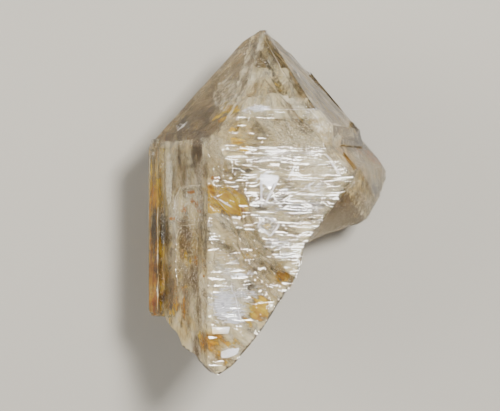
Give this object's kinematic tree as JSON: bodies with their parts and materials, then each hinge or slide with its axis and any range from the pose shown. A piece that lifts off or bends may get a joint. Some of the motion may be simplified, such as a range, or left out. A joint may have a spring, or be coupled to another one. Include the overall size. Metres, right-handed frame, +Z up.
{
  "type": "skeletal quartz crystal",
  "caption": "Clear, smoky-tan skeletal quartz crystal lying on a prism face: striated prism with stepped growth windows, blunt rhombohedral point, side lobe and broken base.",
  "frame": {"origin": "on the underside plane, at the middle of the crystal's bounding box in X and Y", "axes": "+Y along the crystal's long axis toward its point, +Z up out of the front prism face, +X to the right of the front prism face; the crystal lies on its back prism face at Z = 0"},
  "size_m": [0.0324, 0.0426, 0.0213],
  "materials": {
    "quartz": "clear, faintly smoky tan quartz, glossy, finely striated across the prism faces"
  },
  "bodies": {
    "root": {"skeletal_quartz_crystal": "quartz"}
  },
  "joints": []
}
